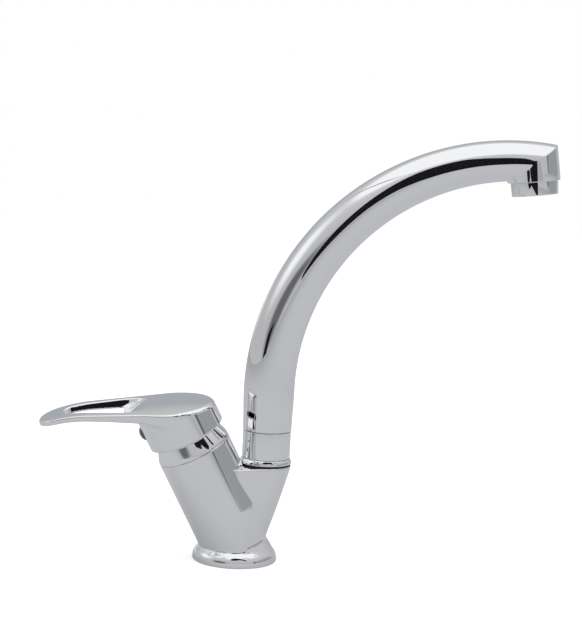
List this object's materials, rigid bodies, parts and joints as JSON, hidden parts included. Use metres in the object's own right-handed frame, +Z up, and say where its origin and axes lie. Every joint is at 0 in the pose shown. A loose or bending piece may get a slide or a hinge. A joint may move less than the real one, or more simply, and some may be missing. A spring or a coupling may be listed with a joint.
{
  "type": "gooseneck basin mixer",
  "caption": "Single-lever basin mixer with an inclined cartridge barrel, a loop lever and a swivelling gooseneck spout with a mitred outlet head.",
  "frame": {"origin": "centre of the base's flat underside, on the deck", "axes": "+Z up; +X from the lever side towards the spout side, in the casting's plane of symmetry; the spout is swivelled 18 degrees and the lever turned 17 degrees, as in the picture"},
  "size_m": [0.2956, 0.0942, 0.2615],
  "materials": {
    "chrome_body": "bright plated, polished casting",
    "chrome_ring": "bright plated, turned",
    "chrome_lever": "bright plated, polished casting",
    "chrome_spout": "bright plated, polished tube",
    "chrome_aerator": "bright plated, turned",
    "brass": "turned, bare",
    "ceramic": "lapped alumina ceramic",
    "cartridge_plastic": "moulded, light grey",
    "aerator_plastic": "moulded, dark grey",
    "rubber": "moulded, black",
    "steel": "stainless, bare",
    "index_plug": "moulded, dark neutral grey dome"
  },
  "bodies": {
    "base": {"body_casting": "chrome_body", "base_gasket": "rubber", "dome_ring": "chrome_ring", "cartridge_nut": "brass", "cartridge_housing": "cartridge_plastic", "port_plate": "cartridge_plastic", "port_seals": "rubber", "fixed_disc": "ceramic", "spout_nipple": "brass", "nipple_orings": "rubber", "retaining_clip": "steel", "bearing_washer": "rubber", "slip_ring": "chrome_ring"},
    "control_rotor": {"rotor": "cartridge_plastic", "stem_pin": "steel"},
    "lever": {"stem": "steel", "lever_handle": "chrome_lever", "grub_screw": "steel", "index_plug": "index_plug"},
    "disc_slider": {"moving_disc": "ceramic", "disc_carrier": "cartridge_plastic"},
    "spout": {"spout_collar": "chrome_spout", "spout_hub": "brass", "spout_tube": "chrome_spout", "aerator_housing": "chrome_aerator", "aerator_insert": "aerator_plastic", "aerator_gasket": "rubber"}
  },
  "joints": [
    {"name": "lever_turn", "type": "hinge", "parent": "base", "child": "control_rotor", "pos_m": [-0.02298, 0, 0.05828], "axis": [-0.4695, 0, 0.8829], "range_deg": [-33, 67]},
    {"name": "lever_lift", "type": "hinge", "parent": "control_rotor", "child": "lever", "pos_m": [-0.02298, 0, 0.05828], "axis": [0.2581, 0.9563, 0.1373], "range_deg": [0, 25]},
    {"name": "disc_slide", "type": "slide", "parent": "control_rotor", "child": "disc_slider", "axis": [-0.8444, 0.2924, -0.449], "range_m": [0, 0.0027]},
    {"name": "spout_swivel", "type": "hinge", "parent": "base", "child": "spout", "pos_m": [0.017, 0, 0.07], "axis": [0, 0, 1], "continuous": true}
  ],
  "couplings": [
    {"joint": "disc_slide", "follows": "lever_lift", "m_per_rad": 0.006}
  ]
}
